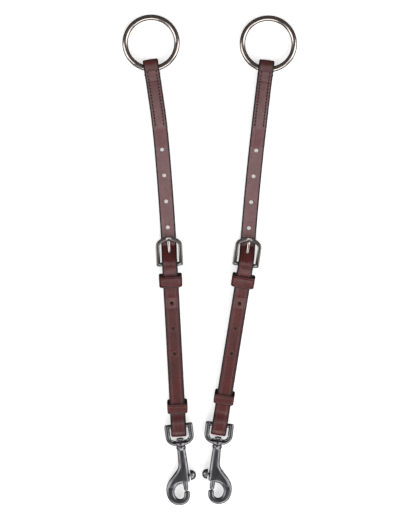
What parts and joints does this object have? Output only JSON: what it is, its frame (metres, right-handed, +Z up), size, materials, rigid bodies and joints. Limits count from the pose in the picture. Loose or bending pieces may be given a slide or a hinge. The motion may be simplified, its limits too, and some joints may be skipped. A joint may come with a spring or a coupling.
{
  "type": "martingale",
  "caption": "Pair of leather running martingale attachments, each with a rein ring, a buckle, keepers and a swivel bolt snap.",
  "frame": {"origin": "centre of the pair's outline in plan, on the surface that the pair lies on", "axes": "+Y towards the rein rings, +X from the left attachment to the right one, +Z up through the leather's grain side"},
  "size_m": [0.1451, 0.4077, 0.0123],
  "materials": {
    "leather": "dyed dark brown bridle leather with black painted edges",
    "thread": "waxed dark thread",
    "bright_nickel": "polished nickel plate",
    "dark_nickel": "dark nickel plate with rubbed edges",
    "steel": "bare steel"
  },
  "bodies": {
    "left_leather": {"left_strap": "leather", "left_ring_stitching": "thread", "left_buckle_stitching": "thread", "left_fixed_keeper": "leather"},
    "left_rein_ring": {"left_ring": "bright_nickel"},
    "left_buckle": {"left_buckle_frame": "bright_nickel"},
    "left_tongue": {"left_buckle_tongue": "bright_nickel"},
    "left_keeper": {"left_sliding_keeper": "leather"},
    "left_eye": {"left_swivel_eye": "dark_nickel"},
    "left_hook": {"left_snap_hook": "dark_nickel", "left_swivel_rivet": "steel", "left_bolt_spring": "steel"},
    "left_bolt": {"left_snap_bolt": "steel", "left_thumb_knob": "dark_nickel"},
    "right_leather": {"right_strap": "leather", "right_ring_stitching": "thread", "right_buckle_stitching": "thread", "right_fixed_keeper": "leather"},
    "right_rein_ring": {"right_ring": "bright_nickel"},
    "right_buckle": {"right_buckle_frame": "bright_nickel"},
    "right_tongue": {"right_buckle_tongue": "bright_nickel"},
    "right_keeper": {"right_sliding_keeper": "leather"},
    "right_eye": {"right_swivel_eye": "dark_nickel"},
    "right_hook": {"right_snap_hook": "dark_nickel", "right_swivel_rivet": "steel", "right_bolt_spring": "steel"},
    "right_bolt": {"right_snap_bolt": "steel", "right_thumb_knob": "dark_nickel"}
  },
  "joints": [
    {"name": "left_ring_swing", "type": "hinge", "parent": "left_leather", "child": "left_rein_ring", "pos_m": [-0.04821, 0.15878, 0.00571], "axis": [0.9998, 0.0192, 0], "range_deg": [-150, 160]},
    {"name": "left_buckle_tilt", "type": "hinge", "parent": "left_leather", "child": "left_buckle", "pos_m": [-0.03303, -0.0039, 0.0047], "axis": [0.9988, 0.0489, 0], "range_deg": [0, 4]},
    {"name": "left_tongue_lift", "type": "hinge", "parent": "left_buckle", "child": "left_tongue", "pos_m": [-0.03303, -0.0039, 0.0047], "axis": [0.9988, 0.0489, 0], "range_deg": [0, 4]},
    {"name": "left_keeper_slide", "type": "slide", "parent": "left_leather", "child": "left_keeper", "axis": [-0.0532, 0.9986, 0], "range_m": [0, 0.075]},
    {"name": "left_snap_fold", "type": "hinge", "parent": "left_leather", "child": "left_eye", "pos_m": [-0.0259, -0.13821, 0.005], "axis": [0.9925, 0.1219, 0], "range_deg": [-120, 120]},
    {"name": "left_hook_swivel", "type": "hinge", "parent": "left_eye", "child": "left_hook", "pos_m": [-0.02346, -0.15806, 0.005], "axis": [0.1219, -0.9925, 0], "continuous": true},
    {"name": "left_bolt_slide", "type": "slide", "parent": "left_hook", "child": "left_bolt", "axis": [-0.1219, 0.9925, 0], "range_m": [0, 0.0075], "stiffness_N_per_m": 200, "springref_m": -0.012, "deforming": ["left_bolt_spring"]},
    {"name": "right_ring_swing", "type": "hinge", "parent": "right_leather", "child": "right_rein_ring", "pos_m": [0.04675, 0.15818, 0.00571], "axis": [0.9952, -0.0976, 0], "range_deg": [-150, 160]},
    {"name": "right_buckle_tilt", "type": "hinge", "parent": "right_leather", "child": "right_buckle", "pos_m": [0.02992, -0.00441, 0.0047], "axis": [0.9888, -0.1491, 0], "range_deg": [0, 4]},
    {"name": "right_tongue_lift", "type": "hinge", "parent": "right_buckle", "child": "right_tongue", "pos_m": [0.02992, -0.00441, 0.0047], "axis": [0.9888, -0.1491, 0], "range_deg": [0, 4]},
    {"name": "right_keeper_slide", "type": "slide", "parent": "right_leather", "child": "right_keeper", "axis": [0.1599, 0.9871, 0], "range_m": [-0.0062, 0.0678]},
    {"name": "right_snap_fold", "type": "hinge", "parent": "right_leather", "child": "right_eye", "pos_m": [0.00843, -0.13718, 0.005], "axis": [0.9925, -0.1219, 0], "range_deg": [-120, 120]},
    {"name": "right_hook_swivel", "type": "hinge", "parent": "right_eye", "child": "right_hook", "pos_m": [0.00599, -0.15704, 0.005], "axis": [-0.1219, -0.9925, 0], "continuous": true},
    {"name": "right_bolt_slide", "type": "slide", "parent": "right_hook", "child": "right_bolt", "axis": [0.1219, 0.9925, 0], "range_m": [0, 0.0075], "stiffness_N_per_m": 200, "springref_m": -0.012, "deforming": ["right_bolt_spring"]},
    {"name": "pair_spread", "type": "slide", "parent": "left_leather", "child": "right_leather", "axis": [1, 0, 0], "range_m": [0, 0.15]}
  ]
}
